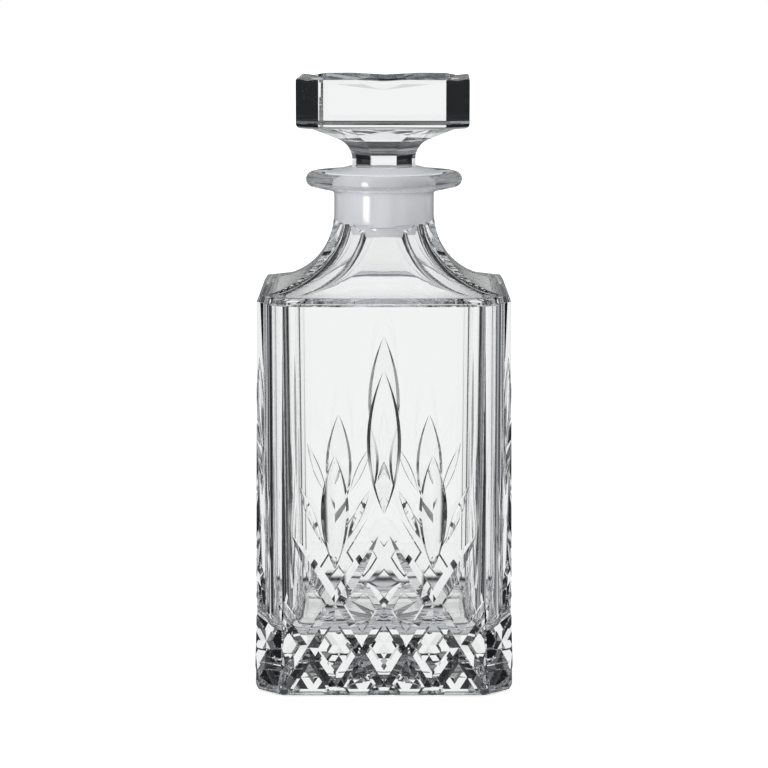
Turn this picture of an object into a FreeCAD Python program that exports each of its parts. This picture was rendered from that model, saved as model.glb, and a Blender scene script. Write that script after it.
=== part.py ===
"""Cut crystal decanter: a square pressed-glass bottle, its glass stopper and the stopper's plastic seal.

Units are millimetres. The origin is the middle of the base, +Z is up, and -Y is the front face.
"""

import math
import os

import FreeCAD
import Part

V = FreeCAD.Vector
UP = V(0, 0, 1)
AXIS_POINT = V(0, 0, 0)
far_out, far_up, far_down = 90.0, 240.0, -10.0     # clear of the decanter, for the ends of cutting solids
hair = 0.01                     # two heights closer than this are the same

# ---------------------------------------------------------------- driving dimensions
# body
base_half, top_half = 46.8, 45.8    # half the width across the flats: the faces lean in a little
corner_leg = 9.6                # leg of the chamfer on each upright corner
body_top = 142.8                # height where the flat faces end
rim_inset, rim_rise = 1.4, 2.3  # bevel round the top of the faces
heel_radius = 1.8
foot_flare, foot_low, foot_high = 0.3, 10.0, 23.0

# shoulder and neck
cove_radius = 26.7
cove_z = 171.5                  # height of the coves' centres, where they are upright
neck_radius = 18.45
cove_gap = 0.15                 # the coves stop this far outside the neck
corner_cove_reach = 57.7        # how far from the axis the corner coves run out
neck_fillet = 7.5
neck_top = 177.0

# lip
lip_tube_x, lip_tube_z, lip_tube = 26.1, 184.3, 2.75
lip_fillet = 1.6
lip_slope = 12.0                # the underside of the lip rises outwards by this many degrees
seat_z, seat_radius, seat_rim_z = 185.0, 22.1, 185.9

# inside of the bottle
bore_radius = 12.5
floor_z, floor_round = 21.5, 6.5
cavity_half_low, cavity_half_high = 39.1, 40.2
cavity_corner = 12.0
neck_wall, shoulder_wall = 6.5, 3.6     # the glass round the neck, and over the edge of the shoulder
shoulder_sections = 7
least_flat = 0.3                # the cavity's flats shrink to half of this width, no less, at the throat
bore_low, bore_overrun = 166.2, 1.0     # foot of the round bore, and how far its cutter runs out of the top

# underside
punt_half, punt_leg, punt_depth = 38.5, 8.0, 1.2
punt_slope = 24.4               # the recess's sides, in degrees from upright
star_points, star_radius, star_waist, star_depth = 16, 34.0, 12.0, 2.2

# cut pattern on each face: x from the middle of the face, z from the base
leaf_slope = 13.0               # how steeply the sides of the leaves fall, in degrees
groove_slope = 24.0             # the same for the rays and the lattice
cut_rim_slope = 40.0            # and along the edges of every cut, where it is steeper
cut_rim_share = 0.2             # the share of a cut's half width that is this steep
leaf_sections, leaf_tip = 9, 0.98       # a leaf's tips are blunted at this share of the way to their points
tall_leaf = ((0.0, 66.9), (0.0, 119.4))
tall_leaf_width = 12.3
side_leaf = ((17.7, 46.7), (17.7, 88.7))
side_leaf_width = 10.1
outer_ray = ((22.2, 56.1), (30.4, 77.4))
inner_ray = ((13.3, 57.7), (5.2, 75.9))
ray_width = 2.9
long_node, long_tips, long_half = (17.8, 33.9), ((33.3, 59.6), (1.7, 60.1)), 3.2
short_node, short_tip, short_half = (0.0, 31.7), (6.5, 42.4), 2.7
edge_low, edge_high = (17.8, 3.9), (38.0, 33.6)
cutter_clear = 1.0              # cutters stand this far out of the face
wheel_overrun = 1.15            # the wheel goes on this much further than where it leaves the face
below_base = -4.0               # grooves that leave through the heel start here

# stopper
stopper_turn = -1.2             # the stopper stands a little off square, in degrees
head_half, head_leg = 31.4, 8.65
head_low, head_top = 204.1, 222.2
head_low_round, head_top_round, head_side_round = 1.8, 0.9, 0.5
dish_facets = 16
dish_depth, dish_rim_dip = 4.8, 0.8     # depth of the top's star at its middle and at its valleys' ends
stem_half, stem_low, stem_high = 11.6, 188.9, 191.8
under_radius, under_slope = 8.1, 22.5
plug_radius, plug_taper_z = 8.4, 167.3
plug_end_radius, plug_end_z = 7.2, 164.5

# seal
fit = 0.05                      # clearance between the seal and the plug, and the seal and the bore
seal_top_radius = 13.0
flange_radius, flange_edge = 21.75, 1.0
waist_radius, waist_z, waist_step = 11.1, 166.6, 0.5     # below this the seal stands clear of the glass
seal_taper_z, seal_end_radius, seal_end_z = 165.8, 9.6, 163.3


# ---------------------------------------------------------------- helpers
def turned(shape, degrees):
    """A copy of shape turned about the upright axis."""
    copy = shape.copy()
    copy.rotate(AXIS_POINT, UP, degrees)
    return copy


def mirrored(shape):
    """A copy of shape mirrored left to right."""
    return shape.mirror(AXIS_POINT, V(1, 0, 0))


def octagon(half, leg, z):
    """A wire at height z: a square of the given half width with its corners cut off."""
    flat = half - leg
    points = [V(half, -flat, z), V(half, flat, z), V(flat, half, z), V(-flat, half, z),
              V(-half, flat, z), V(-half, -flat, z), V(-flat, -half, z), V(flat, -half, z)]
    return Part.makePolygon(points + points[:1])


def tower(wires):
    """A solid with straight sides through wires, from the bottom up."""
    return Part.makeLoft(wires, True, True)


def rounded_square(half, corner, z):
    """A wire at height z: a square with round corners."""
    flat = half - corner
    bulge = flat + corner * math.sqrt(0.5)
    edges = []
    for quarter in range(4):
        side = Part.makeLine(V(half, -flat, z), V(half, flat, z))
        bend = Part.Arc(V(half, flat, z), V(bulge, bulge, z), V(flat, half, z)).toShape()
        edges += [turned(side, 90 * quarter), turned(bend, 90 * quarter)]
    return Part.Wire(edges)


def at(point):
    """An (x, z) pair as a point of the XZ plane."""
    return V(point[0], 0, point[1])


def runs(*points):
    """Straight edges through (x, z) points."""
    return [Part.makeLine(at(a), at(b)) for a, b in zip(points, points[1:])]


def on_circle(centre, radius, degrees):
    angle = math.radians(degrees)
    return centre[0] + radius * math.cos(angle), centre[1] + radius * math.sin(angle)


def bend(centre, radius, start, end):
    """A circular edge in the XZ plane between two angles in degrees."""
    points = [on_circle(centre, radius, angle) for angle in (start, (start + end) / 2, end)]
    return Part.Arc(*[at(point) for point in points]).toShape()


def face_of(edges):
    return Part.Face(Part.Wire(edges))


def revolved(edges):
    """A solid of revolution about the upright axis."""
    return face_of(edges).revolve(AXIS_POINT, UP, 360)


def two_sided(edges, degrees):
    """A long slab with this outline and its mirror image as its section, turned about the upright axis."""
    half = face_of(edges).extrude(V(0, 2 * far_out, 0))
    half.translate(V(0, -far_out, 0))
    return turned(half.fuse(mirrored(half)).removeSplitter(), degrees)


def polyhedron(faces):
    """A closed solid with the given polygons as its faces."""
    return Part.Solid(Part.Shell([Part.Face(Part.makePolygon(f + f[:1])) for f in faces]))


def roof_solid(apex, rim, flat_z):
    """The solid between a many-sided roof, whose facets meet at apex, and a flat cap at flat_z."""
    cap = [V(p.x, p.y, flat_z) for p in rim]
    faces = [cap]
    for i in range(len(rim)):
        j = (i + 1) % len(rim)
        faces += [[apex, rim[i], rim[j]], [rim[i], rim[j], cap[j], cap[i]]]
    return polyhedron(faces)


# ---------------------------------------------------------------- cutters for the front face
def rise(run, slope):
    """How far a slope in degrees rises or falls over run."""
    return run * math.tan(math.radians(slope))


def cut_depth(half_width, slope):
    rim = cut_rim_share * half_width
    return rise(half_width - rim, slope) + rise(rim, cut_rim_slope)


def cut_section(half_width, slope):
    """A cutter's outline in the XY plane: a blunt V with its point in the glass and its back outside it."""
    knee, depth = (1 - cut_rim_share) * half_width, cut_depth(half_width, slope)
    back = half_width + cutter_clear / rise(1, cut_rim_slope)
    right = [V(knee, depth - rise(knee, slope), 0), V(back, -cutter_clear, 0)]
    left = [V(-p.x, p.y, 0) for p in reversed(right)]
    point = V(0, depth, 0)
    return Part.Face(Part.makePolygon([point] + right + left + [point]))


def laid(cutter, foot, head):
    """Lays a cutter that runs up Z from the origin on the front face, from foot towards head."""
    lean = math.degrees(math.atan2(head[0] - foot[0], head[1] - foot[1]))
    draft = math.degrees(math.atan2(base_half - top_half, body_top))
    cutter.rotate(AXIS_POINT, V(0, 1, 0), lean)
    cutter.translate(V(foot[0], -base_half, foot[1]))
    cutter.rotate(V(0, -base_half, 0), V(1, 0, 0), -draft)
    return cutter


def wheel_run(length, half_width):
    """The end of a groove as the cutting wheel leaves it: full depth at the origin, none at length."""
    depth = cut_depth(half_width, groove_slope)
    radius = (length ** 2 + depth ** 2) / (2 * depth)
    spread = wheel_overrun * math.degrees(math.asin(length / radius))
    return cut_section(half_width, groove_slope).revolve(V(0, depth - radius, 0), V(1, 0, 0), spread)


def leaf(foot, head, width, slope):
    """A leaf-shaped cut with a point at both ends and a steep rim all the way round."""
    reach = math.dist(foot, head) / 2
    widest = cut_section(width / 2, slope).OuterWire
    sections = []
    for i in range(leaf_sections):
        share = leaf_tip * (2 * i / (leaf_sections - 1) - 1)
        section = widest.scaled(1 - share ** 2)
        section.translate(V(0, 0, share * reach))
        sections.append(section)
    middle = ((foot[0] + head[0]) / 2, (foot[1] + head[1]) / 2)
    return laid(Part.makeLoft(sections, True, False), middle, head)


def groove(foot, head, half_width):
    """A straight groove of even depth."""
    return laid(cut_section(half_width, groove_slope).extrude(UP * math.dist(foot, head)), foot, head)


def lattice_cut(node, tip, half_width):
    """A groove that comes up through the heel, passes node and runs out to a point at tip."""
    down = (node[1] - below_base) / (tip[1] - node[1])
    start = (node[0] - down * (tip[0] - node[0]), below_base)
    end = laid(wheel_run(math.dist(node, tip), half_width), node, tip)
    return [groove(start, node, half_width), end]


def edge_cut():
    """The outermost lattice groove, from the heel out over the upright corner."""
    down = (edge_low[1] - below_base) / (edge_high[1] - edge_low[1])
    start = (edge_low[0] - down * (edge_high[0] - edge_low[0]), below_base)
    return groove(start, edge_high, short_half)


def front_cutters():
    right = [leaf(*side_leaf, side_leaf_width, leaf_slope)]
    right += [leaf(*ray, ray_width, groove_slope) for ray in (outer_ray, inner_ray)]
    right += [edge_cut()] + lattice_cut(short_node, short_tip, short_half)
    for tip in long_tips:
        right += lattice_cut(long_node, tip, long_half)
    return [leaf(*tall_leaf, tall_leaf_width, leaf_slope)] + right + [mirrored(cutter) for cutter in right]


# ---------------------------------------------------------------- bottle
def cove_slab(reach, degrees):
    """A wide upright slab whose two sides follow the shoulder's cove and then the neck."""
    start = neck_radius + cove_gap
    centre, floor = (reach, cove_z), cove_z - cove_radius
    oval = Part.Ellipse(at((reach + reach - start, cove_z)), at((reach, cove_z + cove_radius)), at(centre))
    if reach - start > cove_radius + hair:
        cove = Part.ArcOfEllipse(oval, math.pi, 1.5 * math.pi).toShape()
    else:
        cove = bend(centre, cove_radius, 180, 270)
    edges = runs((reach, floor), (far_out, floor), (far_out, far_down), (0, far_down), (0, far_up),
                 (start, far_up), (start, cove_z)) + [cove]
    return two_sided(edges, degrees)


def half_at(z):
    """Half the width across the flats at height z."""
    return base_half + (top_half - base_half) * z / body_top


def blank_body():
    """The body with its flared foot, under a pyramid that bevels the rim of the faces."""
    steps = (neck_top + lip_tube - body_top) / rim_rise
    body = tower([octagon(half_at(0) + foot_flare, corner_leg, 0),
                  octagon(half_at(foot_low) + foot_flare, corner_leg, foot_low),
                  octagon(half_at(foot_high), corner_leg, foot_high),
                  octagon(top_half, corner_leg, body_top),
                  octagon(top_half - steps * rim_inset, corner_leg / 2, body_top + steps * rim_rise)])
    heel = [edge for edge in body.Edges if edge.BoundBox.ZMax < hair]
    return body.makeFillet(heel_radius, heel)


def neck_limit():
    """A solid of revolution that makes the neck round and flares out over the shoulder."""
    flare = (neck_radius + neck_fillet, cove_z)
    edges = runs((neck_radius, cove_z), (neck_radius, neck_top), (0, neck_top), (0, far_down),
                 (far_out, far_down), (far_out, cove_z - neck_fillet), (flare[0], cove_z - neck_fillet))
    return revolved(edges + [bend(flare, neck_fillet, 270, 180)])


def lip():
    """The ring round the mouth, with the seat for the seal's flange, down to the top of the neck."""
    tube = (lip_tube_x, lip_tube_z)
    under = on_circle(tube, lip_tube, lip_slope - 90)
    crown = on_circle(tube, lip_tube, 90)
    drop, run = crown[1] - seat_rim_z, lip_tube_x - seat_radius
    crown_radius = (run ** 2 + drop ** 2) / (2 * drop)
    crown_centre = (crown[0], crown[1] - crown_radius)
    crown_end = 90 + math.degrees(math.asin(run / crown_radius))
    hollow_x = neck_radius + lip_fillet
    slope = math.tan(math.radians(lip_slope))
    hollow = (hollow_x, under[1] - slope * (under[0] - hollow_x) - lip_fillet)
    hollow_end = on_circle(hollow, lip_fillet, 90 + lip_slope)
    edges = runs((0, neck_top), (neck_radius, neck_top), (neck_radius, hollow[1]))
    edges += [bend(hollow, lip_fillet, 180, 90 + lip_slope)] + runs(hollow_end, under)
    edges += [bend(tube, lip_tube, lip_slope - 90, 90), bend(crown_centre, crown_radius, 90, crown_end)]
    edges += runs((seat_radius, seat_rim_z), (seat_radius, seat_z), (0, seat_z), (0, neck_top))
    return revolved(edges)


def cavity():
    """The space inside the bottle, with the bore of the neck.

    Under the shoulder its sides follow a quarter of an oval, from upright at the neck out to the walls.
    """
    across, deep = cove_radius + neck_wall, cove_radius + shoulder_wall
    centre = neck_radius + cove_gap + cove_radius
    throat = centre - across
    widest = math.acos((centre - cavity_half_high) / across)
    flat_share = (cavity_half_high - cavity_corner - least_flat) / (cavity_half_high - throat)
    sections = []
    for i in range(shoulder_sections):
        angle = widest * (1 - i / (shoulder_sections - 1))
        half = centre - across * math.cos(angle)
        flat = least_flat + flat_share * (half - throat)
        sections.append(rounded_square(half, half - flat, cove_z - deep * math.sin(angle)))
    shoulder = Part.makeLoft(sections, True, False)
    well = Part.makeLoft([rounded_square(cavity_half_low, cavity_corner, floor_z), sections[0]], True, True)
    floor = [edge for edge in well.Edges if edge.BoundBox.ZMax < floor_z + hair]
    well = well.makeFillet(floor_round, floor)
    bore = Part.makeCylinder(bore_radius, seat_z + bore_overrun - bore_low, V(0, 0, bore_low))
    return well, shoulder, bore


def punt():
    """The shallow recess under the base, with a star cut into it."""
    mouth = punt_half + rise(punt_depth - below_base, punt_slope)
    recess = tower([octagon(mouth, punt_leg, below_base), octagon(punt_half, punt_leg, punt_depth)])
    rim = []
    for i in range(2 * star_points):
        radius = star_waist if i % 2 else star_radius
        angle = math.pi * i / star_points
        rim.append(V(radius * math.cos(angle), radius * math.sin(angle), punt_depth))
    return recess, roof_solid(V(0, 0, punt_depth + star_depth), rim, 0)


def decanter_bottle():
    bottle = blank_body()
    for reach, turns in ((neck_radius + cove_gap + cove_radius, (0, 90)), (corner_cove_reach, (45, 135))):
        for degrees in turns:
            bottle = bottle.common(cove_slab(reach, degrees))
    bottle = bottle.common(neck_limit()).fuse(lip()).removeSplitter()
    for hollow in (*cavity(), *punt()):
        bottle = bottle.cut(hollow)
    cutters = front_cutters()
    for quarter in range(4):
        bottle = bottle.cut([turned(cutter, 90 * quarter) for cutter in cutters])
    return bottle


# ---------------------------------------------------------------- stopper and seal
def stem_slab(degrees):
    """A wide upright slab that follows the stem and the hollow under the stopper's head."""
    centre = (stem_half + under_radius, stem_high)
    end_angle = 90 + under_slope
    end = on_circle(centre, under_radius, end_angle)
    out = (end[0] + (head_low - end[1]) / math.tan(math.radians(under_slope)), head_low)
    edges = runs((0, stem_low), (stem_half, stem_low), (stem_half, stem_high))
    edges += [bend(centre, under_radius, 180, end_angle)] + runs(end, out, (0, head_low), (0, stem_low))
    return two_sided(edges, degrees)


def head():
    """The square head with its corners cut off, its rims rounded and a star dished into its top."""
    block = tower([octagon(head_half, head_leg, head_low), octagon(head_half, head_leg, head_top)])
    upright = [edge for edge in block.Edges if edge.BoundBox.ZLength > hair]
    block = block.makeFillet(head_side_round, upright)
    low = [edge for edge in block.Edges if edge.BoundBox.ZMax < head_low + hair]
    block = block.makeFillet(head_low_round, low)
    high = [edge for edge in block.Edges if edge.BoundBox.ZMin > head_top - hair]
    block = block.makeFillet(head_top_round, high)
    corner_distance = (2 * head_half - head_leg) / math.sqrt(2)
    step = 2 * math.pi / dish_facets
    rim = []
    for i in range(dish_facets):
        if i % 2:
            climb = dish_depth / (head_half / math.cos(step))
        else:
            climb = (dish_depth - dish_rim_dip) / (corner_distance if i % 4 else head_half)
        rim.append(V(far_out * math.cos(step * i), far_out * math.sin(step * i),
                     head_top - dish_depth + far_out * climb))
    dish = roof_solid(V(0, 0, head_top - dish_depth), rim, head_top + far_out)
    return block.cut(dish)


def glass_stopper():
    stem = stem_slab(0)
    for degrees in (45, 90, 135):
        stem = stem.common(stem_slab(degrees))
    plug = revolved(runs((0, plug_end_z), (plug_end_radius, plug_end_z), (plug_radius, plug_taper_z),
                         (plug_radius, stem_low), (0, stem_low), (0, plug_end_z)))
    return turned(head().fuse([stem, plug]).removeSplitter(), stopper_turn)


def stopper_seal():
    """The thick sleeve between plug and bore, closed below, with a flange that sits in the lip."""
    outer, inner = bore_radius - fit, plug_radius + fit
    edge = (flange_radius - flange_edge, seat_z + flange_edge)
    dome_slope = math.degrees(math.atan2(stem_low - edge[1] - flange_edge, edge[0] - seal_top_radius))
    edge_top = 90 - dome_slope
    edges = runs((0, seal_end_z), (seal_end_radius, seal_end_z), (waist_radius, seal_taper_z),
                 (waist_radius, waist_z), (outer, waist_z + waist_step), (outer, seat_z), (edge[0], seat_z))
    edges += [bend(edge, flange_edge, -90, edge_top)]
    edges += runs(on_circle(edge, flange_edge, edge_top), (seal_top_radius, stem_low), (inner, stem_low),
                  (inner, plug_taper_z - fit), (plug_end_radius + fit, plug_end_z - fit),
                  (0, plug_end_z - fit), (0, seal_end_z))
    return revolved(edges)


if __name__ == "__main__":
    os.makedirs("parts", exist_ok=True)
    for piece in (decanter_bottle, stopper_seal, glass_stopper):
        shape = piece()
        shape.exportStep(f"parts/{piece.__name__}.step")
        box = shape.BoundBox
        size = [round(length, 2) for length in (box.XLength, box.YLength, box.ZMin, box.ZMax)]
        print(piece.__name__, shape.isValid(), len(shape.Solids), len(shape.Faces), "faces",
              round(shape.Volume / 1000, 1), "cm3", size)
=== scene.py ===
"""Looks for the cut crystal decanter: clear glass, a white plastic seal and a bright-field studio."""

import math

import bpy
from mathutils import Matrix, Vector


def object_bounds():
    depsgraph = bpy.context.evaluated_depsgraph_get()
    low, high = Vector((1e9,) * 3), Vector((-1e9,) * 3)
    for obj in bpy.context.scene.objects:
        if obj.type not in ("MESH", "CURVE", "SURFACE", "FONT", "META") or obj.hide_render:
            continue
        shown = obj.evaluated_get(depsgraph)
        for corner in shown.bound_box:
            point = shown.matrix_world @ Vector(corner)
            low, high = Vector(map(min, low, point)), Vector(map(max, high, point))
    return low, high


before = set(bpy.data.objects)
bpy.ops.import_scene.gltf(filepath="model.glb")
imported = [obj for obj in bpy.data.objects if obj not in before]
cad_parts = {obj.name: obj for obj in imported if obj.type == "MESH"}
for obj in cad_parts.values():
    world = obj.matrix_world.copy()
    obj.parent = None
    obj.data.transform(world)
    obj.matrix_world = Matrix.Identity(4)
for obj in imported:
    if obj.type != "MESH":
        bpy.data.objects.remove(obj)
low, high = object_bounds()
centre = (low + high) / 2
height = high.z - low.z

# ---------------------------------------------------------------- studio sizes, in metres and degrees
CAMERA_DISTANCE = 1.05          # from the lens to the decanter's axis
CAMERA_HEIGHT = 0.2647
CAMERA_PITCH = 8.514            # below the horizon
CAMERA_LENS = 133.15            # millimetres, on a 36 mm sensor
FLOOR_RADIUS = 40 * height
FLOOR_GAP = 0.0002              # the floor lies this far under the decanter
CARDS = 24.0, 38.0              # the dark band that the windows stand in, up and down from its middle
CARDS_MIDDLE = -8.0
WINDOW_LIGHT = (0.935, 0.94, 0.94)
CARD_LIGHT = (0.010, 0.011, 0.013)
SKY_LIGHT = (0.055, 0.058, 0.062)
GROUND_LIGHT = (0.55, 0.57, 0.59)
ROOM_LIGHT = (0.40, 0.415, 0.43)        # where the room beyond the cards shows palest
# Where the room is in full view and where it has faded out: in degrees from straight out to the sides, and in
# degrees up or down from the middle of the cards. Then the noise at which the room is palest and darkest.
ROOM_ASIDE = 40, 56
ROOM_ABOVE = 60, 42
ROOM_PATCHES = 0.68, 0.40
ROOM_SCALE = 4.0
# White windows as seen from the decanter, in degrees: the way there, clockwise from +Y, then where white ends
# and dark begins aside from its middle, above the horizon and below it. Each serves the cameras opposite it:
# those at the two sides are cut off low, and those on the diagonals stand low, for cameras that look down.
WINDOWS = [
    (0, (19.5, 24.0), (8, 18), (-22, -32)),
    (180, (15.0, 22.0), (8, 18), (-22, -32)),
    (-90, (17.0, 23.0), (8, 18), (-7, -9.5)),
    (90, (17.0, 23.0), (8, 18), (-7, -9.5)),
    (-45, (5.0, 13.0), (-17, -12), (-36, -46)),
    (45, (5.0, 13.0), (-17, -12), (-36, -46)),
    (135, (5.0, 13.0), (-9, -5), (-30, -40)),
    (-135, (5.0, 13.0), (-9, -5), (-30, -40)),
]
MIRRORED = 0.2                  # how bright all this looks in the decanter's outer surface
AMBIENT = 1.08                  # the soft light on the floor and the seal
GLASS_IOR = 1.52
GLASS_TINT = (0.99, 0.995, 0.995)
GLASS_WAVES = 0.00001           # metres, the height of the unevenness in the polished glass
SEAL_GRIP = 0.00012             # metres: the seal swells this much, so it wets the glass on both sides


# ---------------------------------------------------------------- node helpers
class Nodes:
    """Adds nodes to a node tree with their inputs set or linked by name."""

    def __init__(self, tree):
        self.tree = tree
        tree.nodes.clear()

    def add(self, kind, inputs=None, **settings):
        node = self.tree.nodes.new(kind)
        for name, value in settings.items():
            setattr(node, name, value)
        for name, value in (inputs or {}).items():
            self.feed(node.inputs[name], value)
        return node

    def feed(self, socket, value):
        if isinstance(value, bpy.types.NodeSocket):
            self.tree.links.new(value, socket)
        else:
            socket.default_value = value

    def maths(self, operation, a, b=0.0):
        return self.add("ShaderNodeMath", {0: a, 1: b}, operation=operation).outputs[0]

    def fade(self, value, full, none):
        """1 where the value has reached full, 0 where it has reached none, and smooth between."""
        node = self.add("ShaderNodeMapRange", {"Value": value, "From Min": none, "From Max": full},
                        interpolation_type="SMOOTHSTEP")
        return node.outputs[0]

    def mix(self, factor, first, second):
        """The first shader where factor is 0, the second where it is 1."""
        return self.add("ShaderNodeMixShader", {0: factor, 1: first, 2: second}).outputs[0]

    def colour_mix(self, factor, first, second):
        """The first colour where factor is 0, the second where it is 1."""
        ends = [(*end, 1.0) if isinstance(end, tuple) else end for end in (first, second)]
        return self.add("ShaderNodeMix", {0: factor, 6: ends[0], 7: ends[1]}, data_type="RGBA").outputs[2]

    def background(self, strength, colour=(1.0, 1.0, 1.0, 1.0)):
        return self.add("ShaderNodeBackground", {"Color": colour, "Strength": strength}).outputs[0]


def new_material(name):
    material = bpy.data.materials.new(name)
    material.use_nodes = True
    return material, Nodes(material.node_tree)


# ---------------------------------------------------------------- materials
def glass_material(name):
    """Polished pressed glass: clear, with the faint unevenness that a mould leaves in its surface."""
    material, nodes = new_material(name)
    place = nodes.add("ShaderNodeTexCoord").outputs["Object"]
    waves = nodes.add("ShaderNodeTexNoise", {"Vector": place, "Scale": 45.0, "Detail": 1.0})
    bump = nodes.add("ShaderNodeBump", {"Height": waves.outputs["Fac"], "Strength": 1.0,
                                        "Distance": GLASS_WAVES})
    glass = nodes.add("ShaderNodeBsdfPrincipled", {
        "Base Color": (*GLASS_TINT, 1.0), "Roughness": 0.0, "IOR": GLASS_IOR,
        "Transmission Weight": 1.0, "Normal": bump.outputs["Normal"]})
    clear = nodes.add("ShaderNodeBsdfTransparent", {"Color": (*GLASS_TINT, 1.0)})
    path = nodes.add("ShaderNodeLightPath")
    surface = nodes.mix(path.outputs["Is Shadow Ray"], glass.outputs[0], clear.outputs[0])
    nodes.add("ShaderNodeOutputMaterial", {"Surface": surface})
    return material


def seal_material():
    """Moulded translucent polythene: milky, with a soft sheen and a fine grain."""
    material, nodes = new_material("seal_polythene")
    place = nodes.add("ShaderNodeTexCoord").outputs["Object"]
    cloud = nodes.add("ShaderNodeTexNoise", {"Vector": place, "Scale": 160.0, "Detail": 3.0})
    colour = nodes.colour_mix(cloud.outputs["Fac"], (0.81, 0.83, 0.86), (0.87, 0.88, 0.91))
    grain = nodes.add("ShaderNodeTexNoise", {"Vector": place, "Scale": 1500.0, "Detail": 2.0})
    bump = nodes.add("ShaderNodeBump", {"Height": grain.outputs["Fac"], "Strength": 0.15,
                                        "Distance": 0.0001})
    plastic = nodes.add("ShaderNodeBsdfPrincipled", {
        "Base Color": colour, "Roughness": 0.14, "IOR": 1.5, "Subsurface Weight": 0.25,
        "Subsurface Radius": (1.0, 1.0, 1.0), "Subsurface Scale": 0.003, "Normal": bump.outputs["Normal"]})
    nodes.add("ShaderNodeOutputMaterial", {"Surface": plastic.outputs[0]})
    return material


def floor_material():
    """A matt pale table, bright enough to run into the white background."""
    material, nodes = new_material("pale_floor")
    place = nodes.add("ShaderNodeTexCoord").outputs["Object"]
    mottle = nodes.add("ShaderNodeTexNoise", {"Vector": place, "Scale": 30.0, "Detail": 2.0})
    colour = nodes.colour_mix(mottle.outputs["Fac"], (0.93, 0.93, 0.93), (0.95, 0.95, 0.95))
    matt = nodes.add("ShaderNodeBsdfPrincipled", {
        "Base Color": colour, "Roughness": 0.9, "Specular IOR Level": 0.0,
        "Emission Color": (1.0, 1.0, 1.0, 1.0), "Emission Strength": 0.3})
    nodes.add("ShaderNodeOutputMaterial", {"Surface": matt.outputs[0]})
    return material


# ---------------------------------------------------------------- studio
def studio_world():
    """White windows in a band of dark cards, with a patchy grey room beyond them.

    Rays that leave the glass see all this in full and mirrored ones see it dimmed. The camera sees plain
    white, and the floor and the seal are lit by plain white all round.
    """
    world = bpy.data.worlds.new("studio")
    world.use_nodes = True
    bpy.context.scene.world = world
    nodes = Nodes(world.node_tree)
    direction = nodes.add("ShaderNodeTexCoord").outputs["Generated"]
    x, y, z = nodes.add("ShaderNodeSeparateXYZ", {0: direction}).outputs
    turn = nodes.maths("MULTIPLY", nodes.maths("ARCTAN2", x, y), math.degrees(1.0))
    rise = nodes.maths("MULTIPLY", nodes.maths("ARCSINE", z), math.degrees(1.0))
    white_share = 0.0
    for way, width, top, foot in WINDOWS:
        aside = nodes.maths("FLOORED_MODULO", nodes.maths("SUBTRACT", turn, way - 180.0), 360.0)
        aside = nodes.maths("ABSOLUTE", nodes.maths("SUBTRACT", aside, 180.0))
        tall = nodes.maths("MULTIPLY", nodes.fade(rise, *top), nodes.fade(rise, *foot))
        window = nodes.maths("MULTIPLY", nodes.fade(aside, *width), tall)
        white_share = nodes.maths("MAXIMUM", white_share, window)
    beyond = nodes.colour_mix(nodes.maths("GREATER_THAN", rise, 0.0), GROUND_LIGHT, SKY_LIGHT)
    off_middle = nodes.maths("ABSOLUTE", nodes.maths("SUBTRACT", rise, CARDS_MIDDLE))
    surround = nodes.colour_mix(nodes.fade(off_middle, *CARDS), beyond, CARD_LIGHT)
    from_side = nodes.maths("ABSOLUTE", nodes.maths("SUBTRACT", nodes.maths("ABSOLUTE", turn), 90.0))
    past_cards = nodes.maths("MAXIMUM", nodes.fade(from_side, *ROOM_ASIDE),
                             nodes.fade(off_middle, *ROOM_ABOVE))
    noise = nodes.add("ShaderNodeTexNoise", {"Vector": direction, "Scale": ROOM_SCALE, "Detail": 1.0})
    patches = nodes.maths("MULTIPLY", nodes.fade(noise.outputs["Fac"], *ROOM_PATCHES), past_cards)
    surround = nodes.colour_mix(patches, surround, ROOM_LIGHT)
    light = nodes.colour_mix(white_share, surround, WINDOW_LIGHT)
    path = nodes.add("ShaderNodeLightPath").outputs
    transmitted = nodes.background(1.0, light)
    mirrored = nodes.background(MIRRORED, light)
    ambient = nodes.background(AMBIENT)
    white = nodes.background(1.0)
    seen = nodes.mix(path["Is Transmission Ray"], mirrored, transmitted)
    scattered = nodes.maths("GREATER_THAN", path["Diffuse Depth"], 0.5)
    seen = nodes.mix(scattered, seen, ambient)
    seen = nodes.mix(path["Is Camera Ray"], seen, white)
    nodes.add("ShaderNodeOutputWorld", {"Surface": seen})
    world.cycles.sampling_method = "NONE"


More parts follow.
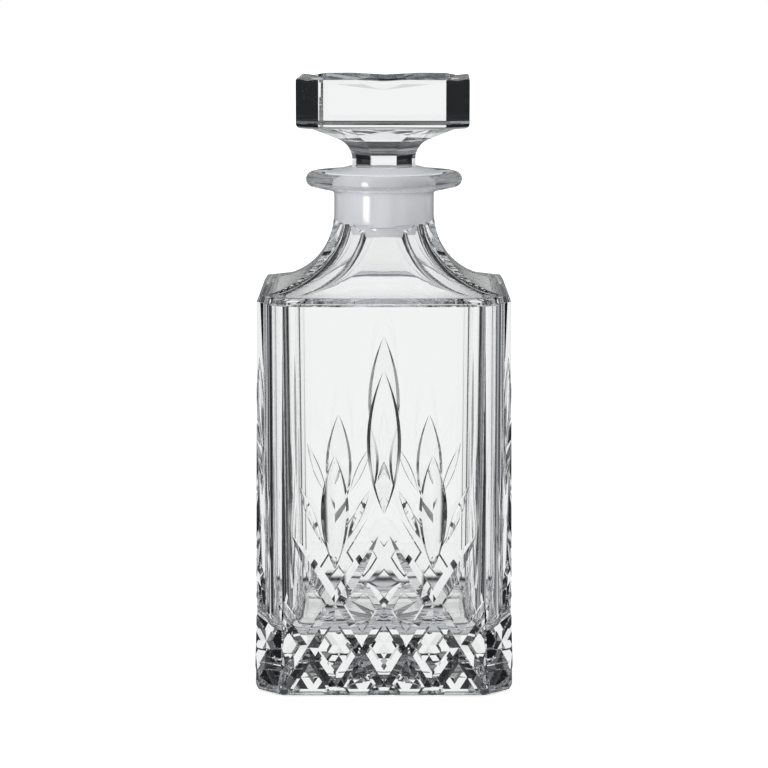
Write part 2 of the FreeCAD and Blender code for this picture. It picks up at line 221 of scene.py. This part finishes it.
def studio_floor():
    """A round table under the decanter, which rays through or off the glass don't see."""
    bpy.ops.mesh.primitive_circle_add(vertices=96, radius=FLOOR_RADIUS, fill_type="NGON",
                                      location=(0, 0, low.z - FLOOR_GAP))
    floor = bpy.context.object
    floor.name = "floor"
    floor.data.materials.append(floor_material())
    floor.visible_transmission = False
    floor.visible_glossy = False


def soft_light(name, place, size, power, receivers):
    """An area light that faces the decanter and lights only the pieces in the receivers collection."""
    data = bpy.data.lights.new(name, "AREA")
    data.shape = "RECTANGLE"
    data.size, data.size_y = size
    data.energy = power
    lamp = bpy.data.objects.new(name, data)
    lamp.location = place
    lamp.rotation_euler = (centre - Vector(place)).to_track_quat("-Z", "Y").to_euler()
    lamp.light_linking.receiver_collection = receivers
    bpy.context.scene.collection.objects.link(lamp)


def camera():
    """A long lens that looks down a little on the decanter."""
    data = bpy.data.cameras.new("camera")
    data.lens = CAMERA_LENS
    data.clip_start, data.clip_end = 0.01, 100
    view = bpy.data.objects.new("camera", data)
    view.location = (centre.x, -CAMERA_DISTANCE, CAMERA_HEIGHT)
    view.rotation_euler = (math.radians(90 - CAMERA_PITCH), 0, 0)
    bpy.context.scene.collection.objects.link(view)
    bpy.context.scene.camera = view


# ---------------------------------------------------------------- build
def dress(node, material):
    """Gives a CAD node its finished material."""
    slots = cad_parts[node].data.materials
    slots.clear()
    slots.append(material)


camera()
dress("decanter_bottle", glass_material("bottle_glass"))
dress("glass_stopper", glass_material("stopper_glass"))
dress("stopper_seal", seal_material())
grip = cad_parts["stopper_seal"].modifiers.new("grip", "DISPLACE")
grip.strength, grip.mid_level = SEAL_GRIP, 0.0
studio_world()
studio_floor()
seal_only = bpy.data.collections.new("seal_only")
seal_only.objects.link(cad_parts["stopper_seal"])
soft_light("key", (-0.85, -0.8, 0.13), (0.35, 0.24), 3.6, seal_only)
soft_light("fill", (0.9, -0.8, 0.45), (0.3, 0.9), 1.5, seal_only)

scene = bpy.context.scene
scene.view_settings.view_transform = "Standard"
scene.cycles.max_bounces = 28
scene.cycles.transmission_bounces = 28
scene.cycles.glossy_bounces = 16
scene.cycles.transparent_max_bounces = 24
